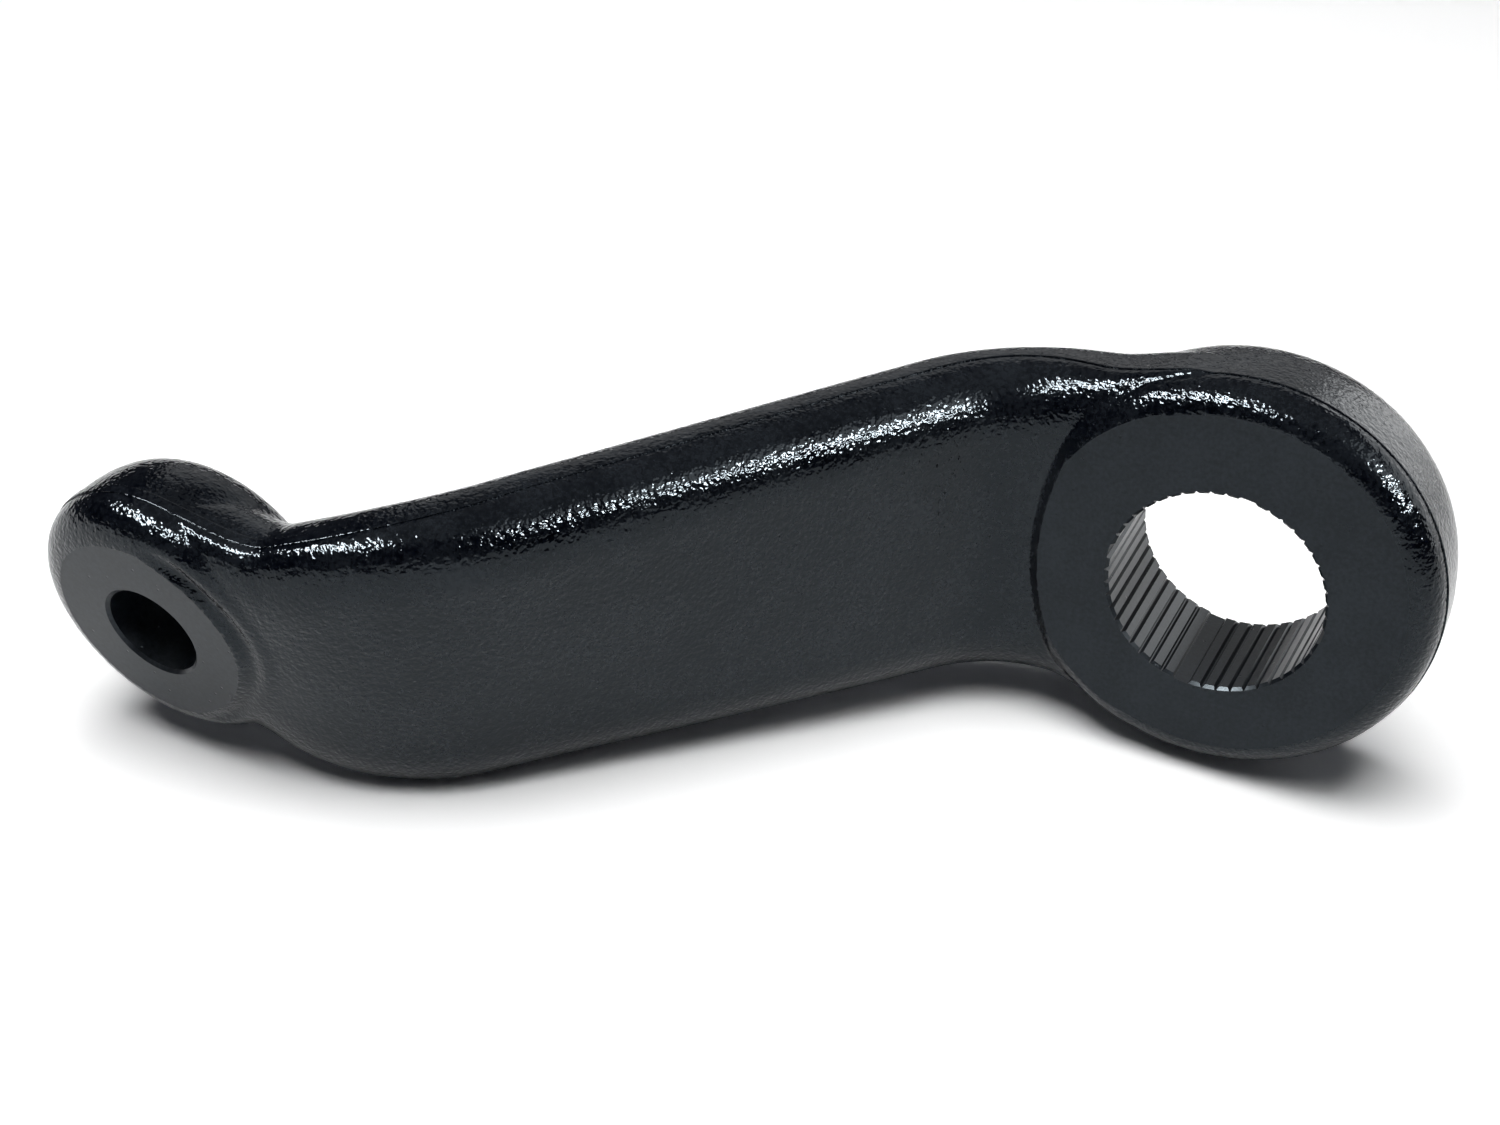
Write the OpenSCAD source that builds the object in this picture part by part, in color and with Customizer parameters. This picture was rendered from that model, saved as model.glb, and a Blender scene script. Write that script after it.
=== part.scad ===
// Drop pitman arm: one steel forging with a serrated taper bore and a tapered stud hole.
// Y is the bore axis, the nut face looks to -Y, the arm runs to -X and lies on its lower edge, Z is up.
// The origin is the centre of the bore on the nut face. Millimetres.

/* [Splined boss] */
// widest radius, at the trimmed flash
boss_r = 34.7; // [30:0.1:45]
// how far the forged boss stands above the bore
boss_off = 1; // [-2:0.1:2]
// thickness between the two machined faces
boss_t = 24; // [20:0.5:36]
// from the nut face back to the middle of the forging
boss_mid = 11; // [9:0.5:14]
// stock of the forged crown above each machined face
boss_stock = 0.1; // [0.1:0.1:2]
// width of the rounded edge at the nut face, seen along the bore
boss_edge = 5.7; // [4:0.1:12]
// fullness of that edge, 2 is an ellipse
boss_full = 2; // [2:0.1:4]
// width of the rounded edge at the back
boss_edge2 = 6; // [4:0.1:12]
// fullness of the edge at the back
boss_full2 = 2.6; // [2:0.1:4]
// radius of the facing cut on the nut face, where the arm rises out of it
face_r = 31.4; // [26:0.1:40]
// lean of the wall that the facing cut leaves in the arm
face_lean = 35; // [20:1:60]

/* [Stud boss] */
// widest radius, at the parting line
stud_boss_r = 23.3; // [18:0.1:30]
// from the middle of the forging to the machined face on the drop side
stud_face = 10; // [7:0.5:15]
// from the middle of the forging to the machined face on the other side
stud_back = 11.5; // [7:0.5:15]
// stock of the forged crown above the machined face
stud_stock = 0.3; // [0.2:0.1:2]
// width of the rounded edge, seen along the stud
stud_edge = 9; // [4:0.1:12]
// fullness of the rounded edge
stud_full = 2.2; // [2:0.1:4]

/* [Arm] */
// distance between the bore and the stud hole, square to the bore
arm_len = 145.5; // [125:0.5:185]
// drop from the nut face to the stud face
arm_drop = 83.5; // [60:0.5:96]
// slope of the arm between its two bends
arm_slope = 50.3; // [42:0.1:58]
// distance from the bore to the start of the first bend
bend_start = 26.5; // [20:0.5:34]
// radius of the first bend, in the middle of the forging
bend_r1 = 30; // [24:0.5:45]
// radius of the second bend
bend_r2 = 42; // [24:0.5:45]
// half width of the arm at the bore
arm_h1 = 29.9; // [24:0.1:34]
// half width of the arm at the stud hole
arm_h2 = 26.5; // [20:0.1:30]
// how far the middle of the arm stands above the line of centres at the bore
arm_off1 = 3.6; // [-6:0.1:6]
// the same at the stud hole, below the line of centres
arm_off2 = -5.3; // [-8:0.1:6]
// thickness at the bore
arm_t1 = 19.5; // [16:0.5:22]
// thickness at the stud hole
arm_t2 = 17; // [14:0.5:22]
// width of the rounded edge
arm_edge = 11; // [4:0.1:14]
// fullness of the rounded edge
arm_full = 2.1; // [2:0.1:4]
// length over which the arm narrows into the stud boss
arm_fade = 47; // [30:0.5:60]
// the same at the splined boss
arm_fade1 = 10; // [6:1:16]
// turn of the stud end about the line of the arm
arm_twist = 12.6; // [0:0.1:20]

/* [Blends] */
// blend of the outline, splined boss into the upper edge of the arm
blend_top = 5.5; // [3:0.5:16]
// the same at the lower edge
blend_low = 7.5; // [3:0.5:16]
// blend of the outline, arm into stud boss
blend_stud = 6.5; // [2:0.5:10]
// blend of the broad faces into the splined boss
blend_face = 2.6; // [1:0.1:5]
// blend of the broad faces into the stud boss
blend_pad = 1.2; // [1:0.1:5]

/* [Flash] */
// height of the trimmed flash above the skin
flash_ridge = 0.25; // [0.2:0.05:1]
// width of the trimmed flash on the arm
flash_w = 1.8; // [1:0.1:4]
// width of the trimmed flash round the splined boss
flash_w_boss = 7; // [4:0.5:9]
// from the nut face back to the front edge of that flash
flash_front = 5.5; // [4:0.5:8]
// length along the arm where the wide flash ends
flash_keep = 8; // [0:1:16]
// length over which it narrows
flash_fade = 34; // [20:1:50]
// from the middle of the forging to the front edge of the flash at the stud boss
flash_stud = 4; // [2:0.5:5]
// length before the stud hole where the flash leaves the middle of the forging
flash_move = 60; // [46:1:70]
// length over which it moves
flash_move_len = 45; // [30:1:46]

/* [Serrations] */
// positions round the bore
ser_n = 48; // [36:4:60]
// wide grooves, where one land is left out
ser_masters = 4; // [2:2:4]
// land radius at the nut face
ser_land_r = 17.4; // [15:0.1:20]
// groove depth below the lands
ser_depth = 0.6; // [0.4:0.05:1.2]
// flank angle of the grooves, both sides together
ser_angle = 60; // [50:1:90]
// flat at the bottom of a groove
ser_flat = 0.16; // [0.1:0.02:0.3]
// taper on diameter, one in this many, widening away from the nut face
ser_taper = 16; // [12:1:40]
// chamfer at both ends of the bore
ser_chamfer = 0.5; // [0.2:0.1:1]
// turn of the first wide groove about the bore
ser_turn = -10.5; // [-45:0.5:45]

/* [Stud hole] */
// radius of the large end, on the drop side
stud_r = 8.2; // [6:0.1:11]
// taper on diameter, one in this many
stud_taper = 8; // [6:0.5:12]
// chamfer at the large end
stud_chamfer = 0.5; // [0.3:0.1:1.5]

/* [Pose] */
// turn about the bore that brings the lower edge level
lie_angle = 2.7; // [-5:0.1:10]

/* [Hidden] */
$fn = 96;
over = 2;
// drop of the middle of the forging, from splined boss to stud boss
mid_drop = arm_drop + boss_mid - stud_face * cos(arm_twist);
bend_len1 = bend_r1 * arm_slope * PI / 180;
bend_len2 = bend_r2 * arm_slope * PI / 180;
slope_len = (mid_drop - (bend_r1 + bend_r2) * (1 - cos(arm_slope))) / sin(arm_slope);
slope_run = (bend_r1 + bend_r2) * sin(arm_slope) + slope_len * cos(arm_slope);
// ends of the bends, measured along the middle of the arm
s1 = bend_start;
s2 = s1 + bend_len1;
s3 = s2 + slope_len;
s4 = s3 + bend_len2;
s_end = s4 + arm_len - bend_start - slope_run;
flash_h = flash_w / 2;
// edges of the wide flash, in front of and behind the middle of the forging
flash_up = max(boss_mid - flash_front, flash_h);
flash_down = max(flash_front + flash_w_boss - boss_mid, flash_h);
// how far the ends of the arm stay inside the bosses
bury = 0.6;
// the same at the back of the splined boss
bury_back = 2.5;
// steps along the arm, across it and round the edge of a boss
n_arm = 64;
n_wide = 16;
n_edge = 10;
pitch = 360 / ser_n;
ser_tilt = atan(1 / (2 * ser_taper));
ser_back_r = ser_land_r + boss_t / (2 * ser_taper);

function clamp01(x) = min(max(x, 0), 1);
function sstep(x) = let (t = clamp01(x)) t * t * (3 - 2 * t);
function smax(a, b, k) = let (h = max(k - abs(a - b), 0) / k) max(a, b) + h * h * k / 4;
// like smax, but never lifts a height that starts at nothing
function blend(a, b, k) = smax(a, b, max(min(k, 2 * min(a, b)), 0.000001));
// share of the full height at a distance inside the outline
function edge(d, w, p) = pow(1 - pow(clamp01(1 - max(d, 0) / w), p), 1 / p);

// half chord of a circle
function chord(r, x) = sqrt(max(r * r - x * x, 0));
function arm_half(s, side) =
    let (
        w = clamp01(s / s_end),
        e = max(clamp01((s - s_end + arm_fade) / arm_fade), clamp01((arm_fade1 - s) / arm_fade1))
    )
    (arm_h1 + (arm_h2 - arm_h1) * w + side * (arm_off1 + (arm_off2 - arm_off1) * w)) * sqrt(1 - e * e);
// outline of the arm: half width above (side 1) or below (side -1) the line of centres
function outline(s, side) =
    let (
        boss = chord(boss_r - bury, s) + side * boss_off,
        stud = chord(stud_boss_r - bury, s - s_end),
        k = side > 0 ? blend_top : blend_low
    )
    smax(smax(boss, arm_half(s, side), k), stud, blend_stud);
function outline_slope(s, side) = (outline(s + 0.05, side) - outline(s - 0.05, side)) / 0.1;

// half width of the trimmed flash, in front of (way 1) or behind (way -1) the middle of the forging
function flash(s, way) =
    let (
        wide = way > 0 ? flash_up : flash_down,
        end = way > 0 ? flash_stud : flash_w - flash_stud
    )
    wide + (flash_h - wide) * sstep((s - flash_keep) / flash_fade)
    + (end - flash_h) * sstep((s - s_end + flash_move) / flash_move_len);

// height of the skin of the arm from the middle of the forging; d_arm is the distance inside the outline
function skin(s, z, d_arm, way) =
    let (
        deep = way > 0 ? bury : bury_back,
        d_boss = boss_r - flash_ridge - deep - norm([s, z - boss_off]),
        d_stud = stud_boss_r - flash_ridge - bury - norm([s - s_end, z]),
        d = max(d_boss, d_stud, d_arm - flash_ridge),
        there = sstep(2 * s / boss_r) * sstep((s_end - s) / (0.6 * stud_boss_r)),
        half = (arm_t1 + (arm_t2 - arm_t1) * clamp01(s / s_end)) / 2,
        low = flash(s, way),
        top = (way > 0 ? boss_mid : boss_t - boss_mid) - deep,
        arm = there * max(half - low, 0) * edge(d, arm_edge, arm_full),
        boss = (top - low) * (way > 0 ? edge(d_boss, boss_edge, boss_full) : edge(d_boss, boss_edge2, boss_full2)),
        stud = ((way > 0 ? stud_face : stud_back) - bury - low) * edge(d_stud, stud_edge, stud_full)
    )
    low + blend(blend(arm, boss, blend_face), stud, blend_pad);

// middle line of the forging: run, drop and slope at a length s
function run(s) =
    min(s, s1) + bend_r1 * sin(turn1(s)) + max(min(s, s3) - s2, 0) * cos(arm_slope)
    + bend_r2 * (sin(arm_slope) - sin(arm_slope - turn2(s))) + max(s - s4, 0);
function drop(s) =
    bend_r1 * (1 - cos(turn1(s))) + max(min(s, s3) - s2, 0) * sin(arm_slope)
    + bend_r2 * (cos(arm_slope - turn2(s)) - cos(arm_slope));
function turn1(s) = arm_slope * clamp01((s - s1) / bend_len1);
function turn2(s) = arm_slope * clamp01((s - s3) / bend_len2);
function twist(s) = arm_twist * sstep((s - s1) / (s4 - s1));

// bends and twists a point of the straight forging
function placed(s, z, y) =
    let (
        t = twist(s),
        phi = turn1(s) - turn2(s),
        across = z * cos(t) - y * sin(t),
        out = z * sin(t) + y * cos(t)
    )
    [out * sin(phi) - run(s), boss_mid - drop(s) - out * cos(phi), across];

// distances across a section, close together at the edges; the outermost two bound the flash line
function across_list(lo, hi) =
    let (mid = (hi - lo) / 2, half = (hi + lo) / 2)
    concat([-lo], [for (i = [0 : n_wide]) mid + sin(180 * i / n_wide - 90) * (half - flash_ridge)], [hi]);
function section(s) =
    let (
        hi = outline(s, 1),
        lo = outline(s, -1),
        ku = sqrt(1 + pow(outline_slope(s, 1), 2)),
        kl = sqrt(1 + pow(outline_slope(s, -1), 2)),
        zs = across_list(lo, hi),
        ds = [for (z = zs) min((hi - z) / ku, (lo + z) / kl)],
        m = len(zs)
    )
    concat(
        [for (i = [0 : m - 1]) placed(s, zs[i], skin(s, zs[i], ds[i], 1))],
        [for (i = [m - 1 : -1 : 0]) placed(s, zs[i], -skin(s, zs[i], ds[i], -1))]
    );

// the arm, with both ends buried in the bosses
module arm() {
    sections = [for (i = [0 : n_arm]) section(s_end * i / n_arm)];
    m = len(sections[0]);
    end = 2 + n_arm * m;
    tips = [placed(-stud_r / 2, 0, 0), placed(s_end + stud_r / 2, 0, 0)];
    points = concat(tips, [for (ring = sections) for (p = ring) p]);
    sides = [
        for (i = [0 : n_arm - 1]) for (j = [0 : m - 1])
            let (a = 2 + i * m + j, b = 2 + i * m + (j + 1) % m, c = a + m, d = b + m)
            each [[a, c, b], [b, c, d]]
    ];
    first = [for (j = [0 : m - 1]) [0, 2 + j, 2 + (j + 1) % m]];
    last = [for (j = [0 : m - 1]) [1, end + (j + 1) % m, end + j]];
    polyhedron(points, concat(first, sides, last));
}

// children see the bore axis as Z, with the nut face at zero
module on_bore() rotate([90, 0, 0]) children();

// children see the stud axis as Z, with the middle of the forging at zero
module on_stud() translate([-arm_len, boss_mid - mid_drop, 0]) rotate([90 + arm_twist, 0, 0]) children();

// rounded edge of a boss from its flash, below a crown at the height top, up to the height last
function boss_rim(r, w, p, low, top, last) =
    let (turn = asin(pow((last - low) / (top - low), p / 2)))
    [for (i = [0 : n_edge]) let (t = turn * i / n_edge)
        [r - flash_ridge - w * (1 - pow(cos(t), 2 / p)), low + (top - low) * pow(sin(t), 2 / p)]];
// a boss about Z with the middle of the forging at zero, from its two edges
module boss(r, up, down) {
    rotate_extrude() polygon(concat(
        [[0, -down[n_edge][1]]],
        [for (i = [n_edge : -1 : 0]) [down[i][0], -down[i][1]]],
        [[r, -down[0][1]], [r, up[0][1]]],
        up,
        [[0, up[n_edge][1]]]
    ));
}
module splined_boss() on_bore() translate([0, boss_off, -boss_mid]) {
    crown = boss_mid + boss_stock;
    back = boss_t - boss_mid;
    boss(
        boss_r,
        boss_rim(boss_r, boss_edge, boss_full, flash_up, crown, crown),
        boss_rim(boss_r, boss_edge2, boss_full2, flash_down, back + boss_stock, back)
    );
}
module stud_boss() on_stud() boss(
    stud_boss_r,
    boss_rim(stud_boss_r, stud_edge, stud_full, flash_stud, stud_face + stud_stock, stud_face),
    boss_rim(stud_boss_r, stud_edge, stud_full, flash_w - flash_stud, stud_back + stud_stock, stud_back)
);

// the facing cut in front of the nut face
module nut_facing() on_bore() cylinder(r1 = face_r, r2 = face_r + over / tan(face_lean), h = over);

// a bar along a groove, in the plane of the bore axis, leaning with the taper
module groove_bar(half_top, half_floor) {
    rise = 0.5;
    grow = (half_top - half_floor) / ser_depth;
    translate([ser_land_r, 0, 0]) rotate([0, -ser_tilt, 0]) translate([0, 0, -boss_t - over])
        linear_extrude(boss_t + 2 * over) polygon([
            [-rise, -half_top - rise * grow], [ser_depth, -half_floor],
            [ser_depth, half_floor], [-rise, half_top + rise * grow]
        ]);
}

module serrated_bore() on_bore() rotate([0, 0, ser_turn]) {
    lean = over / (2 * ser_taper);
    translate([0, 0, -boss_t - over])
        cylinder(r1 = ser_back_r + lean, r2 = ser_land_r - lean, h = boss_t + 2 * over);
    translate([0, 0, -ser_chamfer])
        cylinder(r1 = ser_land_r, r2 = ser_land_r + ser_chamfer + over, h = ser_chamfer + over);
    translate([0, 0, -boss_t - over])
        cylinder(r1 = ser_back_r + ser_chamfer + over, r2 = ser_back_r, h = ser_chamfer + over);
    half_top = ser_flat / 2 + ser_depth * tan(ser_angle / 2);
    for (i = [0 : ser_n - 1]) rotate([0, 0, pitch * (i + 0.5)]) groove_bar(half_top, ser_flat / 2);
    wide = (ser_land_r + ser_depth) * sin(pitch / 2);
    for (i = [0 : ser_masters - 1]) rotate([0, 0, 360 / ser_masters * i]) groove_bar(wide, wide);
}

module stud_hole() on_stud() {
    slope = 1 / (2 * stud_taper);
    deep = stud_face + stud_back + 2 * over;
    translate([0, 0, stud_face + over - deep])
        cylinder(r1 = stud_r + over * slope - deep * slope, r2 = stud_r + over * slope, h = deep);
    translate([0, 0, stud_face - stud_chamfer])
        cylinder(r1 = stud_r, r2 = stud_r + stud_chamfer + over, h = stud_chamfer + over);
}

module pitman_arm() color("#2a2c30") rotate([0, -lie_angle, 0]) difference() {
    union() {
        arm();
        splined_boss();
        stud_boss();
    }
    nut_facing();
    serrated_bore();
    stud_hole();
}

pitman_arm();
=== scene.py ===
# %% [markdown]
# A forged pitman arm, dressed for a picture
#
# This lesson rebuilds the looks of one steel forging: a thick splined boss, a flat arm with two bends
# and a slight twist, and a smaller boss with a tapered hole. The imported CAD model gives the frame, so
# every size below is the real one, and the finished piece lies exactly where the CAD solid lies.

from math import cos, pi, radians, sin, tan

import bpy
import numpy as np
from mathutils import Matrix, Vector


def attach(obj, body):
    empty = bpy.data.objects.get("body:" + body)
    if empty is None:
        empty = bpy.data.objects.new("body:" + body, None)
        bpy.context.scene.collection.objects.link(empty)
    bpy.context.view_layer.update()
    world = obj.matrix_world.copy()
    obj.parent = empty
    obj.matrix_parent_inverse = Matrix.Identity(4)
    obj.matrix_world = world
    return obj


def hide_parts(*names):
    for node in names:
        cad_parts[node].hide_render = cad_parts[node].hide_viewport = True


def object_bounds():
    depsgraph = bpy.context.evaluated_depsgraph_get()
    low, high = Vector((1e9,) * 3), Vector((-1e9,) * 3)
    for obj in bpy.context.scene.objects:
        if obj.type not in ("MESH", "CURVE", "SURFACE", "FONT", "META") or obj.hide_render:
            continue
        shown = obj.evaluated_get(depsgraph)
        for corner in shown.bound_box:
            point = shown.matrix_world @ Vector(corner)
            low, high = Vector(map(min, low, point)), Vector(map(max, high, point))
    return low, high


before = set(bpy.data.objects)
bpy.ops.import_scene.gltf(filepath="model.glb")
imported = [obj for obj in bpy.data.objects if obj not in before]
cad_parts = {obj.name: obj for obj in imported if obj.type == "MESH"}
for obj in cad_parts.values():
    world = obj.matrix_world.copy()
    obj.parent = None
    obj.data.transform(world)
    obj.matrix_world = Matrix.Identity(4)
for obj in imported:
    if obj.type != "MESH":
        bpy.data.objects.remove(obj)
cad_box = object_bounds()
scene = bpy.context.scene
MM = 0.001

# %% [markdown]
# The sizes
#
# The arm is a forging, so its sizes come in three sets: the two bosses, the flat arm between them, and
# the line that the arm follows. They are the values of the CAD source, in millimetres, written again
# because a scene file that stands alone can't read another file. Three fillets differ from it by a little:
# those at the upper neck of the stud boss and round the nut face are fuller here, and the one at the
# lower neck is tighter, because a glossy coat shows a fillet that is only slightly off.

# %% Sizes of the two bosses
boss_r, boss_off, boss_t, boss_mid, boss_stock = 34.7, 1.0, 24.0, 11.0, 0.1
boss_edge, boss_full, boss_edge2, boss_full2 = 5.7, 2.0, 6.0, 2.6
stud_boss_r, stud_face, stud_back, stud_stock = 23.3, 10.0, 11.5, 0.3
stud_edge, stud_full = 9.0, 2.2
print("splined boss", 2 * boss_r, "mm across, stud boss", 2 * stud_boss_r, "mm across")

# %% Sizes of the arm, its fillets and its flash
arm_len, arm_drop, arm_slope, arm_twist = 145.5, 83.5, radians(50.3), radians(12.6)
arm_h1, arm_h2, arm_off1, arm_off2 = 29.9, 26.5, 3.6, -5.3
arm_t1, arm_t2, arm_edge, arm_full, arm_fade, arm_fade1 = 19.5, 17.0, 11.0, 2.1, 47.0, 10.0
blend_top, blend_low, blend_face, blend_pad = 5.5, 7.5, 4.0, 1.2
blend_neck, blend_stud = 12.0, 5.0
flash_ridge, flash_w, flash_w_boss, flash_front, flash_keep, flash_fade = 0.25, 1.8, 7.0, 5.5, 8.0, 34.0
flash_stud, flash_move, flash_move_len = 4.0, 60.0, 45.0
flash_h = flash_w / 2
flash_up, flash_down = boss_mid - flash_front, flash_front + flash_w_boss - boss_mid
print("arm", arm_t1, "to", arm_t2, "mm thick, flash", flash_w, "mm wide, or", flash_w_boss, "round the boss")

# %% The line that the arm follows
bend_start, bend_r1, bend_r2 = 26.5, 30.0, 42.0
lie_angle = radians(2.7)
mid_drop = arm_drop + boss_mid - stud_face * cos(arm_twist)
straight = (mid_drop - (bend_r1 + bend_r2) * (1 - cos(arm_slope))) / sin(arm_slope)
slope_run = (bend_r1 + bend_r2) * sin(arm_slope) + straight * cos(arm_slope)
s_flat = bend_start + bend_r1 * arm_slope + straight + bend_r2 * arm_slope
s_end = s_flat + arm_len - bend_start - slope_run
print(f"length along the middle of the arm: {s_end:.1f} mm, straight part {straight:.1f} mm")

# %% [markdown]
# The forging, still straight
#
# A smith would first draw this shape out flat and bend it afterwards, and that order suits a mesh too.
# Flat, the forging is only two things: an outline, and a height above the parting plane for each point
# inside it. Two circles and two straight edges give the outline, and a soft maximum blends them, as the
# fillets of a die do. The height rises from the outline along a rounded edge, and the bosses and the arm
# are blended the same way. Subdivision surfaces could round such a form as well, but then the radii
# would be guesses, while here each one is a number.

# %% Blends and edges
def soft_max(a, b, k):
    """The larger of two values, with a fillet of width k where they are close."""
    h = np.maximum(k - np.abs(a - b), 0) / k
    return np.maximum(a, b) + h * h * k / 4


def smooth(x):
    """A step from 0 to 1 with soft ends."""
    t = np.clip(x, 0, 1)
    return t * t * (3 - 2 * t)


def rounded(d, width, full):
    """Share of the full height at a distance d inside the outline."""
    return (1 - np.clip(1 - np.maximum(d, 0) / width, 0, 1) ** full) ** (1 / full)


def chord(r, x):
    """Half the chord of a circle of radius r, at a distance x from its centre."""
    return np.sqrt(np.maximum(r * r - x * x, 0))


print("a soft maximum of 5 and 5 with a fillet of 3 gives", float(soft_max(np.float64(5), np.float64(5), 3)))

# %% Outline of the flat forging
def arm_half(s, side):
    """Half width of the bare arm, which fades into the bosses at its ends."""
    w = np.clip(s / s_end, 0, 1)
    at_end, at_start = (s - s_end + arm_fade) / arm_fade, (arm_fade1 - s) / arm_fade1
    e = np.maximum(np.clip(at_end, 0, 1), np.clip(at_start, 0, 1))
    off = arm_off1 + (arm_off2 - arm_off1) * w
    return (arm_h1 + (arm_h2 - arm_h1) * w + side * off) * np.sqrt(1 - e * e)


def outline(s, side):
    """Half width of the forging above (side 1) or below (side -1) its line of centres."""
    boss, stud = chord(boss_r, s) + side * boss_off, chord(stud_boss_r, s - s_end)
    at_boss, at_stud = (blend_top, blend_neck) if side > 0 else (blend_low, blend_stud)
    between = soft_max(soft_max(boss, arm_half(s, side), at_boss), stud, at_stud)
    return np.where(s <= 0, boss, np.where(s >= s_end, stud, between))


halves = [round(float(outline(np.float64(s_end / 2), side)), 2) for side in (1, -1)]
print("half widths at the middle of the arm:", halves)

# %% [markdown]
# Flash and hollows
#
# Where the two dies met, a thin flash was squeezed out and trimmed off. Round the splined boss it leaves
# a broad band, and along the arm only a narrow one, so its width changes with the length. Two shallow
# hollows run beside the machined faces, one along the stud pad and one along the nut face. They are a
# millimetre deep at most, but a glossy coat shows them clearly. A sculpting brush could carve them, while
# a bell curve of the distance from the rim keeps them even all along.

# %% Flash and hollows
def flash(s, way):
    """Half width of the trimmed flash in front of (way 1) or behind (way -1) the middle of the forging."""
    wide, end = (flash_up, flash_stud) if way > 0 else (flash_down, flash_w - flash_stud)
    moved = (end - flash_h) * smooth((s - s_end + flash_move) / flash_move_len)
    return wide + (flash_h - wide) * smooth((s - flash_keep) / flash_fade) + moved


pad_deep, pad_in, pad_w, pad_start, pad_fade = 1.0, 5.0, 1.3, 3.0, 8.0
nut_deep, nut_in, nut_w, nut_z, nut_tall, nut_fade = 0.5, 1.8, 1.8, 8.0, 13.0, 10.0
hollow_share = 0.25


def hollows(s, z, d_boss, d_stud):
    """Depth of the hollows, from the distances inside the circles of the two bosses."""
    by_pad = pad_deep * np.exp(-((d_stud - pad_in) / pad_w) ** 2)
    by_nut = nut_deep * np.exp(-((d_boss - nut_in) / nut_w) ** 2 - ((z - nut_z) / nut_tall) ** 2)
    return by_pad * smooth((s_end - s - pad_start) / pad_fade) + by_nut * smooth(s / nut_fade)


print("flash in front of the boss:", flash_up, "mm, hollows:", pad_deep, "and", nut_deep, "mm deep")

# %% Height of the skin
def skin(s, z, d_arm, way):
    """Height of the skin from the middle of the forging; d_arm is the distance inside the outline."""
    blend = lambda a, b, k: soft_max(a, b, np.maximum(np.minimum(k, 2 * np.minimum(a, b)), 1e-6))
    d_boss = boss_r - flash_ridge - np.hypot(s, z - boss_off)
    d_stud = stud_boss_r - flash_ridge - np.hypot(s - s_end, z)
    d = np.maximum(np.maximum(d_boss, d_stud), d_arm - flash_ridge)
    there = smooth(2 * s / boss_r) * smooth((s_end - s) / (0.6 * stud_boss_r))
    half, low = (arm_t1 + (arm_t2 - arm_t1) * np.clip(s / s_end, 0, 1)) / 2, flash(s, way)
    boss_top, stud_top = (boss_mid, stud_face) if way > 0 else (boss_t - boss_mid, stud_back)
    edge, full = (boss_edge, boss_full) if way > 0 else (boss_edge2, boss_full2)
    arm = there * np.maximum(half - low, 0) * rounded(d, arm_edge, arm_full)
    boss = (boss_top + boss_stock - low) * rounded(d_boss, edge, full)
    stud = (stud_top + stud_stock - low) * rounded(d_stud, stud_edge, stud_full)
    hollow = (way > 0) * np.minimum(hollows(s, z, d_boss, d_stud), hollow_share * arm)
    return low + blend(blend(arm, boss, blend_face), stud, blend_pad) - hollow


middle = (np.float64(s_end / 2), np.float64(0), np.float64(20))
print("skin in front of the middle of the arm:", round(float(skin(*middle, 1)), 2), "mm")

# %% Rows of points over the flat forging
def stations(boss_span=48, stud_span=44):
    """Lengths along the arm, close together where the shape turns quickly."""
    first = -boss_r * np.cos(np.radians(np.linspace(1, 90, 60)))
    spans = [(0, boss_span, 105), (boss_span, s_end - stud_span, 80), (s_end - stud_span, s_end, 85)]
    rows = [np.linspace(a, b, count, endpoint=False)[(i == 0):] for i, (a, b, count) in enumerate(spans)]
    last = s_end + stud_boss_r * np.sin(np.radians(np.linspace(0, 89, 45)))
    return np.concatenate([first, *rows, last])


def flat_forging(n_wide=92, step=0.05, lip=0.1, lip_drop=0.15):
    """Rings of points round the forging; a small lip rounds the corners of the flash."""
    s = stations()[:, None]
    q = np.sin(np.radians(np.linspace(-90, 90, n_wide + 1)))[None, :]
    hi, lo = outline(s, 1), outline(s, -1)
    slope = lambda side: (outline(s + step, side) - outline(s - step, side)) / (2 * step)
    z = (hi - lo) / 2 + q * ((hi + lo) / 2 - flash_ridge)
    on_arm = np.where((s > 0) & (s < s_end), 1, 0)
    inside = np.minimum((hi - z) / np.sqrt(1 + slope(1) ** 2), (lo + z) / np.sqrt(1 + slope(-1) ** 2))
    halves = []
    for way in (1, -1):
        wall = flash(s, way)
        y = np.hstack([wall - lip_drop, wall, skin(s, z, on_arm * inside, way), wall, wall - lip_drop])
        wide = np.hstack([-lo, lip - lo, z, hi - lip, hi])
        halves.append(np.stack([np.broadcast_to(-s, wide.shape), boss_mid - way * y, wide], -1))
    return np.concatenate([halves[0], halves[1][:, ::-1]], 1)


rings = flat_forging()
n, m = rings.shape[:2]
print("rings:", n, "with", m, "points each")

# %% Mesh of the flat forging
tips = np.array([[boss_r, boss_mid, boss_off], [-(s_end + stud_boss_r), boss_mid, 0]])
points = np.concatenate([rings.reshape(-1, 3), tips]) * MM
after = [(j, (j + 1) % m) for j in range(m)]
quads = [(i * m + j, i * m + k, (i + 1) * m + k, (i + 1) * m + j) for i in range(n - 1) for j, k in after]
caps = [(n * m, k, j) for j, k in after] + [(n * m + 1, (n - 1) * m + j, (n - 1) * m + k) for j, k in after]
mesh = bpy.data.meshes.new("forging")
mesh.from_pydata(points.tolist(), [], quads + caps)
forged = mesh.attributes.new("forged", "FLOAT", "FACE")
forged.data.foreach_set("value", np.ones(len(mesh.polygons), dtype=np.float32))
arm = bpy.data.objects.new("pitman_arm_skin", mesh)
scene.collection.objects.link(arm)
print("flat forging:", len(mesh.vertices), "points,", len(mesh.polygons), "faces")

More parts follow.
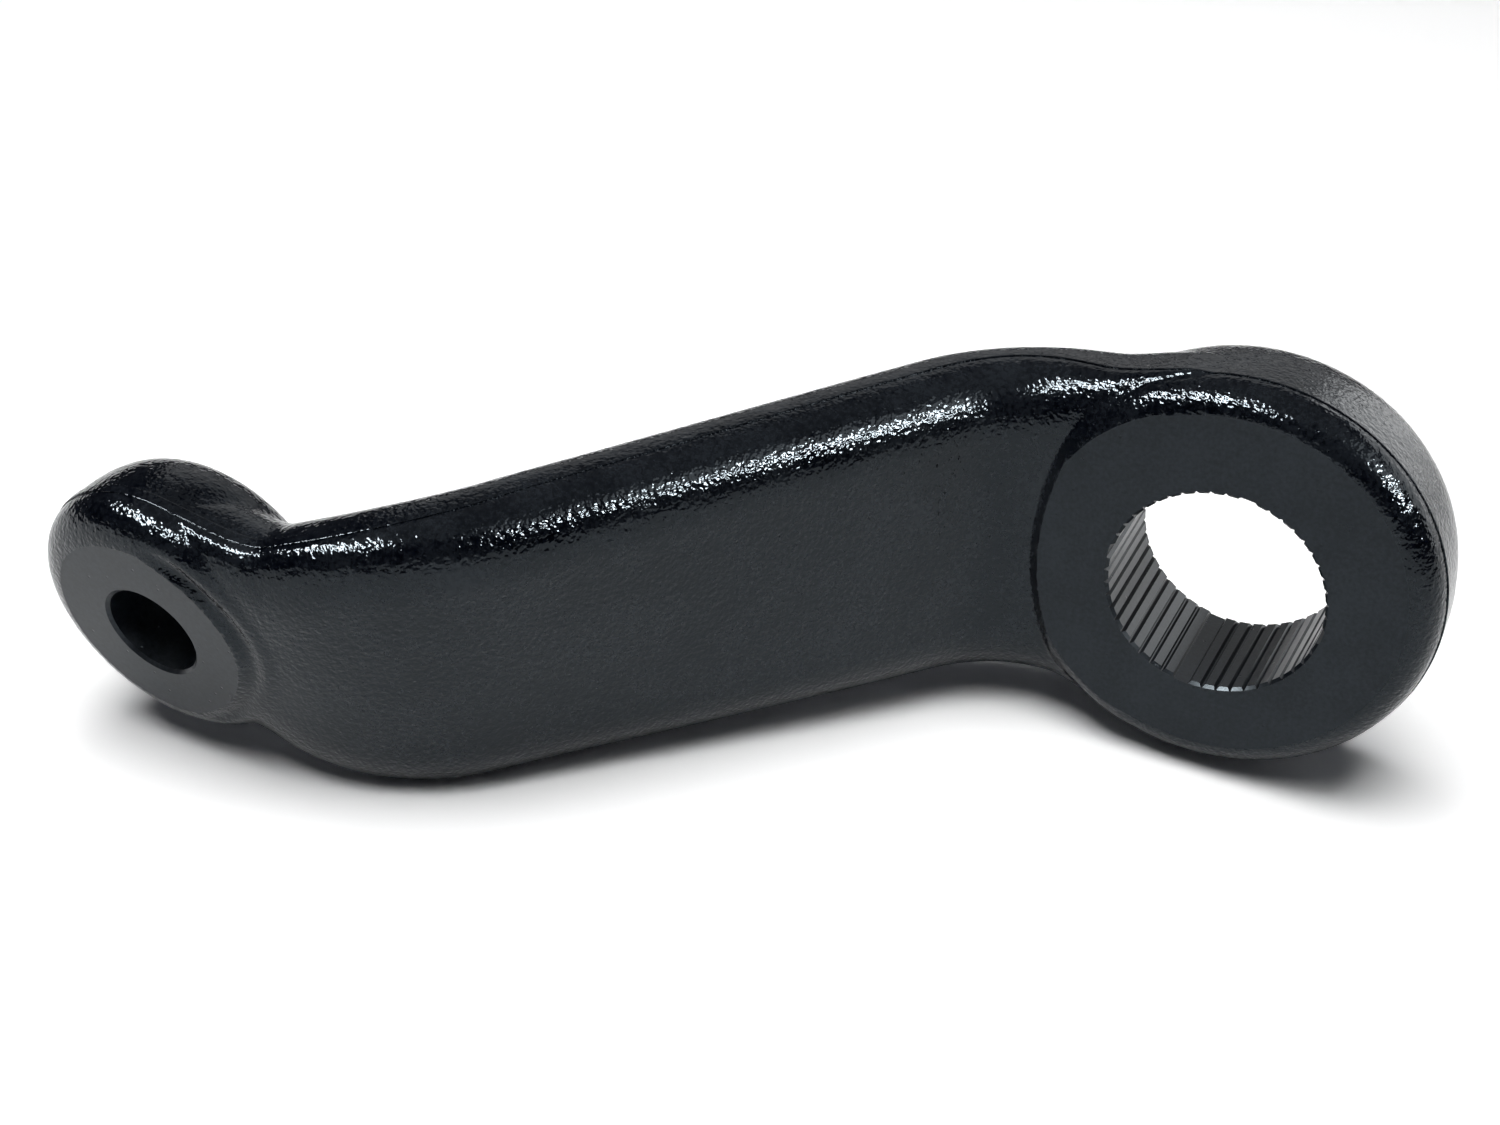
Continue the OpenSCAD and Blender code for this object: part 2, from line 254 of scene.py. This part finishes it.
# %% [markdown]
# Bending and twisting
#
# The press bends the flat forging twice, in opposite directions, and the stud end is turned a little
# about the line of the arm. A lattice or a curve modifier would do it roughly. Geometry Nodes can do it
# exactly: each point keeps its place in its own cross-section, and the section is turned and carried to
# where the middle line of the arm has got to. The helpers below add a node, link or fill its inputs, and
# put a finished tree on a piece.

# %% Helpers for node trees
def add(tree, kind, inputs=(), out=0, **settings):
    """Adds a node, sets its options, links or fills its inputs, and returns one of its outputs."""
    made = tree.nodes.new(kind)
    for key, value in settings.items():
        setattr(made, key, value)
    for key, value in (inputs.items() if isinstance(inputs, dict) else enumerate(inputs)):
        for item in value if isinstance(value, list) else [value]:
            if isinstance(item, bpy.types.NodeSocket):
                tree.links.new(item, made.inputs[key])
            else:
                made.inputs[key].default_value = item
    return made.outputs[out]


def sums_in(tree):
    """A short way to add Math nodes to one tree."""
    return lambda operation, *values: add(tree, "ShaderNodeMath", values, operation=operation)


print("node helpers ready")

# %% Helpers for Geometry Nodes
def new_tree(name, sizes):
    """A tree with a geometry input, named sizes, and a geometry output; returns the tree and its inputs."""
    tree = bpy.data.node_groups.new(name, "GeometryNodeTree")
    tree.interface.new_socket("Geometry", in_out="INPUT", socket_type="NodeSocketGeometry")
    tree.interface.new_socket("Geometry", in_out="OUTPUT", socket_type="NodeSocketGeometry")
    for label in sizes:
        tree.interface.new_socket(label, in_out="INPUT", socket_type="NodeSocketFloat")
    return tree, tree.nodes.new("NodeGroupInput").outputs


def use_tree(piece, tree, values):
    """Puts the tree on the piece as a modifier, with its sizes set by the sockets' identifiers."""
    modifier = piece.modifiers.new(tree.name, "NODES")
    modifier.node_group = tree
    for item in tree.interface.items_tree:
        if item.in_out == "INPUT" and item.name in values:
            modifier[item.identifier] = float(values[item.name])


print("tree helpers ready")

# %% The bending tree
bend_sizes = {
    "Boss middle": boss_mid * MM, "Bend start": bend_start * MM, "First radius": bend_r1 * MM,
    "Second radius": bend_r2 * MM, "Straight length": straight * MM, "Slope": arm_slope, "Twist": arm_twist,
}
bending, size = new_tree("bend_and_twist", bend_sizes)
calc = sums_in(bending)
start, r1, r2, length = (size[k] for k in ("Bend start", "First radius", "Second radius", "Straight length"))
slope, mid = size["Slope"], size["Boss middle"]
split = add(bending, "ShaderNodeSeparateXYZ", [add(bending, "GeometryNodeInputPosition")]).node.outputs
s = calc("MULTIPLY", split[0], -1.0)
end1 = calc("MULTIPLY_ADD", r1, slope, start)
end_straight = calc("ADD", end1, length)
end2 = calc("MULTIPLY_ADD", r2, slope, end_straight)
turn1 = add(bending, "ShaderNodeMapRange", [s, start, end1, 0.0, slope])
turn2 = add(bending, "ShaderNodeMapRange", [s, end_straight, end2, 0.0, slope])
along = add(bending, "ShaderNodeMapRange", [s, end1, end_straight, 0.0, length])
twist = add(bending, "ShaderNodeMapRange", [s, start, end2, 0.0, size["Twist"]], interpolation_type="SMOOTHSTEP")
print("bending tree: angles along the arm are set")

# %% The middle line and the sections
left = calc("SUBTRACT", slope, turn2)
run = calc("MULTIPLY_ADD", r1, calc("SINE", turn1), calc("MINIMUM", s, start))
run = calc("MULTIPLY_ADD", along, calc("COSINE", slope), run)
run = calc("MULTIPLY_ADD", r2, calc("SUBTRACT", calc("SINE", slope), calc("SINE", left)), run)
run = calc("ADD", run, calc("MAXIMUM", calc("SUBTRACT", s, end2), 0.0))
drop = calc("MULTIPLY", r1, calc("SUBTRACT", 1.0, calc("COSINE", turn1)))
drop = calc("MULTIPLY_ADD", along, calc("SINE", slope), drop)
drop = calc("MULTIPLY_ADD", r2, calc("SUBTRACT", calc("COSINE", left), calc("COSINE", slope)), drop)
section = add(bending, "ShaderNodeCombineXYZ", [0.0, calc("SUBTRACT", split[1], mid), split[2]])
for axis, angle in (("X_AXIS", twist), ("Z_AXIS", calc("SUBTRACT", turn1, turn2))):
    section = add(bending, "ShaderNodeVectorRotate", {"Vector": section, "Angle": angle}, rotation_type=axis)
centre = add(bending, "ShaderNodeCombineXYZ", [calc("MULTIPLY", run, -1.0), calc("SUBTRACT", mid, drop), 0.0])
placed = add(bending, "ShaderNodeVectorMath", [section, centre], operation="ADD")
bent = add(bending, "GeometryNodeSetPosition", {"Geometry": size["Geometry"], "Position": placed})
bending.links.new(bent, bending.nodes.new("NodeGroupOutput").inputs[0])
use_tree(arm, bending, bend_sizes)
print("bending tree:", len(bending.nodes), "nodes")

# %% [markdown]
# Machining
#
# After forging, both bosses are faced flat, the large one is broached with tapered serrations for the
# steering shaft, and the small one is reamed for a tapered stud. At four places the tooth between two
# grooves is cut away as well, so that the arm can only be fitted in four positions. The tree makes each
# tool as a plain solid, a cone, a disc or a bar, and a mesh boolean takes them all away at once.

# %% Sizes of the machining
face_r, face_lean, chamfer_w = 31.4, radians(35), 0.5
ser_positions, ser_wide, ser_turn, ser_taper, stud_taper = 48, 4, radians(-10.5), 16.0, 8.0
ser_depth, ser_flat, ser_angle, wide_angle = 0.6, 0.16, radians(60), radians(3.75)
ser_land_r, stud_r = 17.4, 8.2
groove_half = ser_flat / 2 + ser_depth * tan(ser_angle / 2)
cut_sizes = {
    "Boss radius": boss_r * MM, "Facing radius": face_r * MM, "Boss thickness": boss_t * MM,
    "Land radius": ser_land_r * MM, "Bore taper": 1 / (2 * ser_taper), "Bore chamfer": chamfer_w * MM,
    "Positions": ser_positions, "Wide grooves": ser_wide, "First turn": ser_turn,
    "Groove depth": ser_depth * MM, "Groove half width": groove_half * MM,
    "Floor half width": ser_flat / 2 * MM, "Wide half width": (ser_land_r + ser_depth) * sin(wide_angle) * MM,
    "Stud boss radius": stud_boss_r * MM, "Stud face": stud_face * MM, "Stud back": stud_back * MM,
    "Stud hole radius": stud_r * MM, "Stud taper": 1 / (2 * stud_taper), "Stud chamfer": chamfer_w * MM,
    "Stud along": -arm_len * MM, "Stud across": (boss_mid - mid_drop) * MM, "Stud turn": pi / 2 + arm_twist,
    "Lie": -lie_angle,
}
machining, size = new_tree("machining", cut_sizes)
calc = sums_in(machining)
OVER = 2 * MM
print("serrations:", ser_positions, "positions,", ser_wide, "of them wide")

# %% Tools that are cones and discs
BORE_SIDES, STUD_SIDES, DISC_DEEP = 144, 96, 15 * MM


def moved(geometry, **how):
    """The geometry, turned or carried by a Transform node."""
    settings = {label.title(): value for label, value in how.items()}
    return add(machining, "GeometryNodeTransform", {"Geometry": geometry, **settings})


def vector(x=0.0, y=0.0, z=0.0):
    """A vector from numbers or from other nodes."""
    return add(machining, "ShaderNodeCombineXYZ", [x, y, z])


def cone(low, high, r_low, r_high, sides=BORE_SIDES):
    """A cone along Z from the height low to the height high."""
    depth = calc("SUBTRACT", high, low)
    made = {"Vertices": sides, "Radius Top": r_high, "Radius Bottom": r_low, "Depth": depth}
    return moved(add(machining, "GeometryNodeMeshCone", made), translation=vector(z=low))


def facing(face, radius, way):
    """A disc that stands on a machined face, on the side named by way."""
    made = {"Vertices": BORE_SIDES, "Radius": radius, "Depth": DISC_DEEP}
    disc = add(machining, "GeometryNodeMeshCylinder", made)
    return moved(disc, translation=vector(z=calc("ADD", face, way * DISC_DEEP / 2)))


print("tool helpers ready")

# %% [markdown]
# The bore
#
# The bore is a cone, wider at the back, so that the nut pulls it tight on the shaft. Small chamfers break
# both of its ends, and a flat cone and a disc face the boss. Each tool runs a little past the face that
# it cuts, because a boolean between faces that touch would leave stray skins there.

# %% The bore and the faces of the splined boss
land, thick, taper = size["Land radius"], size["Boss thickness"], size["Bore taper"]
chamfer, face = size["Bore chamfer"], size["Facing radius"]
rear = calc("MULTIPLY", thick, -1.0)
rear_r = calc("MULTIPLY_ADD", thick, taper, land)
deep_end = calc("SUBTRACT", rear, OVER)
room = calc("ADD", chamfer, OVER)
deep_r, front_r = calc("MULTIPLY_ADD", taper, OVER, rear_r), calc("MULTIPLY_ADD", taper, -OVER, land)
bore = cone(deep_end, OVER, deep_r, front_r)
front_chamfer = cone(calc("MULTIPLY", chamfer, -1.0), OVER, land, calc("ADD", land, room))
rear_chamfer = cone(deep_end, calc("ADD", rear, chamfer), calc("ADD", rear_r, room), rear_r)
front_facing = cone(0.0, OVER, face, calc("ADD", face, OVER / tan(face_lean)))
wider = calc("ADD", size["Boss radius"], 2 * OVER)
bore_tools = [bore, front_chamfer, rear_chamfer, front_facing, facing(rear, wider, -1)]
print("bore tools:", len(bore_tools))

# %% [markdown]
# Serrations
#
# A broach cuts all the grooves in one stroke. Forty-eight bars placed by hand would be dull work, so one
# leaning bar is instanced round the bore, and a second, broader one makes the four wide grooves. The bar
# starts as a cube whose corners are moved: narrow at the groove's floor, wide above the land.

# %% The bars for the grooves
RISE = 0.5 * MM


def bar(half_top, half_floor):
    """A bar along Z, narrower at the groove's floor, leaning with the taper of the bore."""
    depth = size["Groove depth"]
    grow = calc("DIVIDE", calc("SUBTRACT", half_top, half_floor), depth)
    cube = add(machining, "GeometryNodeMeshCube")
    spot = add(machining, "ShaderNodeSeparateXYZ", [add(machining, "GeometryNodeInputPosition")]).node.outputs
    spread = lambda place, low, high: add(machining, "ShaderNodeMapRange", [place, -0.5, 0.5, low, high])
    across = spread(spot[0], -RISE, depth)
    half = spread(spot[0], calc("MULTIPLY_ADD", grow, RISE, half_top), half_floor)
    wide = calc("MULTIPLY", calc("MULTIPLY", spot[1], 2.0), half)
    tall = spread(spot[2], deep_end, OVER)
    corners = {"Geometry": cube, "Position": vector(across, wide, tall)}
    lean = calc("MULTIPLY", calc("ARCTANGENT", taper), -1.0)
    shaped = add(machining, "GeometryNodeSetPosition", corners)
    return moved(shaped, rotation=vector(y=lean), translation=vector(x=land))


def round_the_bore(tool, count, offset):
    """Copies of a tool at equal turns about the bore."""
    order = calc("ADD", add(machining, "GeometryNodeInputIndex"), offset)
    turn = calc("MULTIPLY_ADD", order, calc("DIVIDE", 2 * pi, count), size["First turn"])
    spots = add(machining, "GeometryNodePoints", {"Count": count})
    copies = {"Points": spots, "Instance": tool, "Rotation": vector(z=turn)}
    return add(machining, "GeometryNodeInstanceOnPoints", copies)


narrow = bar(size["Groove half width"], size["Floor half width"])
broad = bar(size["Wide half width"], size["Wide half width"])
bore_tools += [round_the_bore(narrow, size["Positions"], 0.5), round_the_bore(broad, size["Wide grooves"], 0.0)]
print("groove tools added:", len(bore_tools))

# %% [markdown]
# The stud hole
#
# A tapered stud sits in the small boss, so its hole is a cone too, with a chamfer at the wide end. Both
# sides of the boss are faced, one for the seal and one for the nut. The same helpers make these tools,
# standing up, and they are turned to the twisted boss later.

# %% The stud hole and its faces
face, back, hole_r, lean = size["Stud face"], size["Stud back"], size["Stud hole radius"], size["Stud taper"]
behind = calc("MULTIPLY", back, -1.0)
low = calc("MULTIPLY", calc("ADD", back, OVER), -1.0)
high = calc("ADD", face, OVER)
tall = calc("SUBTRACT", high, low)
wide_end = calc("MULTIPLY_ADD", lean, OVER, hole_r)
hole = cone(low, high, calc("SUBTRACT", wide_end, calc("MULTIPLY", tall, lean)), wide_end, STUD_SIDES)
rim_r = calc("ADD", hole_r, calc("ADD", size["Stud chamfer"], OVER))
rim = cone(calc("SUBTRACT", face, size["Stud chamfer"]), high, hole_r, rim_r, STUD_SIDES)
pads = [facing(face, size["Stud boss radius"], 1), facing(behind, size["Stud boss radius"], -1)]
stud_tools = [hole, rim, *pads]
print("stud tools:", len(stud_tools))

# %% [markdown]
# Cutting, and the shading of edges
#
# The tools were made standing up, so they are turned to the bore and to the twisted stud boss before the
# cut. A boolean leaves some points almost on top of each other, and these are welded. Steep edges are
# marked sharp, as a tool leaves them, and all the others stay smooth. Afterwards the normals are weighted
# by the area of the faces, or the thin slivers beside a cut would tilt the shading of the flats.

# %% Cut, mark the edges, and lay the arm down
WELD, STEEP = 0.01 * MM, radians(40)
stud_spot = vector(size["Stud along"], size["Stud across"], 0.0)
tools = [moved(tool, rotation=vector(x=pi / 2)) for tool in bore_tools]
tools += [moved(tool, rotation=vector(x=size["Stud turn"]), translation=stud_spot) for tool in stud_tools]
solids = {"Mesh 1": size["Geometry"], "Mesh 2": tools}
cut = add(machining, "GeometryNodeMeshBoolean", solids, operation="DIFFERENCE", solver="MANIFOLD")
welded = add(machining, "GeometryNodeMergeByDistance", {"Geometry": cut, "Distance": WELD})
steep = calc("GREATER_THAN", add(machining, "GeometryNodeInputMeshEdgeAngle"), STEEP)
soft = add(machining, "GeometryNodeSetShadeSmooth", [welded], domain="FACE")
edged = add(machining, "GeometryNodeSetShadeSmooth", [soft, steep, False], domain="EDGE")
laid = moved(edged, rotation=vector(y=size["Lie"]))
real = add(machining, "GeometryNodeRealizeInstances", [laid])
coat = bpy.data.materials.new("black_coat")
finished = add(machining, "GeometryNodeSetMaterial", {"Geometry": real, "Material": coat})
machining.links.new(finished, machining.nodes.new("NodeGroupOutput").inputs[0])
use_tree(arm, machining, cut_sizes)
print("machining tree:", len(machining.nodes), "nodes")

# %% [markdown]
# A plain mesh
#
# Other programs can't run a node tree, so the arm takes over the mesh that its modifiers make. It does
# so twice, once for the two trees and once for the weighted normals, which need the finished faces.

# %% Turn the result into a plain mesh
def make_plain(piece):
    """Gives the piece the mesh that its modifiers make, and removes the modifiers."""
    evaluated = piece.evaluated_get(bpy.context.evaluated_depsgraph_get())
    made = bpy.data.meshes.new_from_object(evaluated)
    piece.modifiers.clear()
    piece.data = made
    return made


make_plain(arm)
arm.modifiers.new("face_weights", "WEIGHTED_NORMAL").keep_sharp = True
plain = make_plain(arm)
plain.name = "pitman_arm_skin"

# %% [markdown]
# The black coat
#
# The arm is coated in a thick semi-gloss black. Over the forged skin the coat follows the scale marks of
# the die and has its own orange peel, which breaks a highlight into grains. The machined faces under the
# same coat are flat and more satin, with only a few fine pits. The attribute that marks the forged faces
# tells the two apart. A shader group gives the height of the peel, the change in gloss, and fine flecks
# in the black, so that no face is one flat colour.

# %% A group for the grain of the coat
def shader_group(name, inputs, outputs):
    """A shader group with named inputs and values to put out; returns it with both lists of sockets."""
    group = bpy.data.node_groups.new(name, "ShaderNodeTree")
    for label, kind in inputs.items():
        group.interface.new_socket(label, in_out="INPUT", socket_type=kind)
    for label in outputs:
        group.interface.new_socket(label, in_out="OUTPUT", socket_type="NodeSocketFloat")
    return group, group.nodes.new("NodeGroupInput").outputs, group.nodes.new("NodeGroupOutput").inputs


values = dict.fromkeys(("Forged", "Peel", "Scale marks"), "NodeSocketFloat")
grain, given, result = shader_group(
    "coat_grain", {"Vector": "NodeSocketVector", **values}, ("Height", "Gloss change", "Flecks")
)
calc = sums_in(grain)


def noise(scale, detail, rough):
    """Noise with about this many grains to the metre."""
    settings = {"Vector": given["Vector"], "Scale": scale, "Detail": detail, "Roughness": rough}
    return add(grain, "ShaderNodeTexNoise", settings)


print("coat grain group: inputs", [socket.name for socket in given if socket.name])

# %% Peel, scale marks and pits
peel_grain, mark_grain, pit_grain, fine_grain = 1250.0, 170.0, 480.0, 900.0
unpitted, pit_floor, pit_rim, pit_depth, fine_share = 0.72, 0.03, 0.14, -0.6, 0.10
peel = calc("MULTIPLY", noise(peel_grain, 1.0, 0.5), given["Peel"])
marks = calc("MULTIPLY", noise(mark_grain, 2.0, 0.5), given["Scale marks"])
cells = add(grain, "ShaderNodeTexVoronoi", {"Vector": given["Vector"], "Scale": pit_grain}).node.outputs
few = calc("GREATER_THAN", add(grain, "ShaderNodeSeparateColor", [cells["Color"]]), unpitted)
pit = add(grain, "ShaderNodeMapRange", [cells["Distance"], pit_floor, pit_rim, pit_depth, 0.0])
pits = calc("MULTIPLY", pit, few)
fine = calc("MULTIPLY_ADD", noise(fine_grain, 2.0, 0.5), fine_share, pits)
height = calc("MULTIPLY_ADD", calc("ADD", peel, marks), given["Forged"], fine)
print("coat height: peel", peel_grain, "and scale marks", mark_grain, "to the metre")

# %% Changes of gloss, and flecks
cloud_grain, dust_grain, cloud_share, dust_share, pit_share = 90.0, 1300.0, 0.5, 0.5, 0.3
clouds = noise(cloud_grain, 4.0, 0.6)
dust = calc("MULTIPLY", noise(dust_grain, 2.0, 0.6), dust_share)
# The pits also make the black darker where they lie, as dark specks.
flecks = calc("ADD", calc("MULTIPLY_ADD", clouds, cloud_share, dust), calc("MULTIPLY", pits, pit_share))
for label, value in {"Height": height, "Gloss change": clouds, "Flecks": flecks}.items():
    grain.links.new(value, result[label])
print("coat grain group:", len(grain.nodes), "nodes")

# %% The coat's material
black, pale_fleck, ramp = (0.0002, 0.0006, 0.0024, 1), (0.0096, 0.0118, 0.0158, 1), (0.40, 0.60)
glossiest, dullest, machined_satin = 0.08, 0.13, 0.19
peel_depth, marks_depth, bump_depth = 1.65, 1.2, 0.1 * MM
coat.use_nodes = True
nodes, links = coat.node_tree, coat.node_tree.links
surface = nodes.nodes["Principled BSDF"]
where = add(nodes, "ShaderNodeTexCoord", out=3)
mark = add(nodes, "ShaderNodeAttribute", out=2, attribute_name="forged")
texture = nodes.nodes.new("ShaderNodeGroup")
texture.node_tree = grain
for label, value in {"Peel": peel_depth, "Scale marks": marks_depth}.items():
    texture.inputs[label].default_value = value
links.new(where, texture.inputs["Vector"])
links.new(mark, texture.inputs["Forged"])
bumps = {"Height": texture.outputs["Height"], "Distance": bump_depth, "Strength": 1.0}
links.new(add(nodes, "ShaderNodeBump", bumps), surface.inputs["Normal"])
change = texture.outputs["Gloss change"]
skin_gloss = add(nodes, "ShaderNodeMapRange", [change, 0.3, 0.7, glossiest, dullest])
satin = add(nodes, "ShaderNodeMapRange", [mark, 0.0, 1.0, machined_satin, 0.0])
links.new(add(nodes, "ShaderNodeMath", [skin_gloss, satin], operation="ADD"), surface.inputs["Roughness"])
tint = add(nodes, "ShaderNodeValToRGB", [texture.outputs["Flecks"]])
for stop, at, colour in zip(tint.node.color_ramp.elements, ramp, (black, pale_fleck)):
    stop.position, stop.color = at, colour
links.new(tint, surface.inputs["Base Color"])
surface.inputs["Specular IOR Level"].default_value = 0.27
surface.inputs["Specular Tint"].default_value = (0.80, 0.92, 1.0, 1)
print("coat material:", len(nodes.nodes), "nodes")

# %% [markdown]
# The floor
#
# The arm lies on a white table, and its broad dark faces mirror that table. So the floor is one large
# matt sheet. A white world could stand for it, but a world takes no shadow. For the camera, and for
# anything that mirrors it, the sheet is a little whiter than the light alone would make it.

# %% Floor
half, level = 3.0, float(cad_box[0][2])
plain_white, seen_white = 0.85, 1.45
corners = [(x * half, y * half, level) for x, y in ((-1, -1), (1, -1), (1, 1), (-1, 1))]
floor_mesh = bpy.data.meshes.new("floor")
floor_mesh.from_pydata(corners, [], [(0, 1, 2, 3)])
floor = bpy.data.objects.new("floor", floor_mesh)
scene.collection.objects.link(floor)
paper = bpy.data.materials.new("white_table")
paper.use_nodes = True
sheet = paper.node_tree
sheet.nodes.remove(sheet.nodes["Principled BSDF"])
rays = add(sheet, "ShaderNodeLightPath").node.outputs
seen = rays["Is Camera Ray"]
for other in ("Is Glossy Ray", "Is Transmission Ray"):
    seen = add(sheet, "ShaderNodeMath", [seen, rays[other]], operation="MAXIMUM")
white = add(sheet, "ShaderNodeMapRange", [seen, 0.0, 1.0, plain_white, seen_white])
grey = add(sheet, "ShaderNodeCombineColor", [white, white, white])
matt = add(sheet, "ShaderNodeBsdfDiffuse", {"Color": grey})
sheet.links.new(matt, sheet.nodes["Material Output"].inputs["Surface"])
floor_mesh.materials.append(paper)
print("floor at", round(level / MM, 2), "mm")

# %% [markdown]
# Studio light
#
# A glossy black thing shows what it mirrors more than the light that falls on it. One wide panel above
# gives that light and the soft shadow, and is itself not mirrored. The other lamps are there only to be
# mirrored. A strip on the right draws the long highlight along the arm's upper edge, with a soft glow
# round it, and a strip in front draws the highlights at the two bends. Panels behind lift the band behind
# the flash and the grooves of the bore out of pure black, and one overhead gives the upper edge a faint
# sheen. They don't light the table, so there is one shadow, and the room between them stays dark.

# %% Lamps and world
aim = Vector((-0.07, -0.03, 0.0))


def lamp(name, direction, distance, sizes, watts):
    """A rectangular lamp in this direction from the arm, turned to face it."""
    light = bpy.data.lights.new(name, "AREA")
    light.shape, light.size, light.size_y, light.energy = "RECTANGLE", sizes[0], sizes[1], watts
    made = bpy.data.objects.new(name, light)
    way = Vector(direction).normalized()
    turned = way.to_track_quat("Z", "Y").to_matrix().to_4x4()
    made.matrix_world = Matrix.Translation(aim + way * distance) @ turned
    scene.collection.objects.link(made)
    return made


key = lamp("key_panel", (-0.04, -0.14, 1.0), 1.35, (1.1, 1.1), 20.5)
key.visible_glossy = False
for mirrored in (
    lamp("right_strip", (0.86, -0.18, 0.46), 1.3, (0.46, 0.09), 17.5),
    lamp("right_glow", (0.778, -0.12, 0.616), 1.3, (0.75, 0.45), 2.4),
    lamp("front_strip", (-0.42, -0.54, 0.78), 1.3, (1.15, 0.14), 44.0),
    lamp("back_panel", (-0.15, 0.85, 0.48), 1.5, (2.2, 1.0), 4.2),
    lamp("ceiling_panel", (0.0, -0.1, 1.0), 1.3, (2.0, 2.0), 4.0),
    lamp("back_right_panel", (0.65, 0.75, 0.28), 1.4, (1.5, 1.2), 12.0),
):
    mirrored.visible_diffuse = mirrored.visible_camera = False
world = bpy.data.worlds.new("room")
scene.world = world
world.use_nodes = True
room_light = world.node_tree.nodes["Background"].inputs
room_light["Color"].default_value, room_light["Strength"].default_value = (0.030, 0.031, 0.034, 1), 1.0
scene.view_settings.view_transform = "Standard"

# %% [markdown]
# The camera
#
# The picture is taken from the front right, looking down at about thirty degrees, through a normal lens.
# A camera can be placed by eye over a background image, but here its place and focal length were fitted
# to the outlines of the bore, the faces and the arm. They were fitted to the arm as it was drawn, so the
# camera turns with it by the small angle at which it lies.

# %% Camera
azimuth, elevation = radians(27.06), radians(30.18)
spot, focal_px, image_px = Vector((52.22, -264.65, 156.64)) * MM, 1900, 1500
back = Vector((sin(azimuth) * cos(elevation), -cos(azimuth) * cos(elevation), sin(elevation)))
right = Vector((cos(azimuth), sin(azimuth), 0))
axes = Matrix((right, back.cross(right), back)).transposed()
lie = Matrix.Rotation(-lie_angle, 3, "Y")
lens = bpy.data.cameras.new("camera")
lens.sensor_width, lens.clip_start = 36.0, 0.01
lens.lens = lens.sensor_width * focal_px / image_px
camera = bpy.data.objects.new("camera", lens)
camera.matrix_world = Matrix.Translation(lie @ spot) @ (lie @ axes).to_4x4()
scene.collection.objects.link(camera)
scene.camera = camera
print("camera at", [round(v / MM, 1) for v in camera.location])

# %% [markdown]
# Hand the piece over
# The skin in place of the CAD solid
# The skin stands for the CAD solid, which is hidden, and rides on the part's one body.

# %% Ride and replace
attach(arm, "root")
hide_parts("pitman_arm")
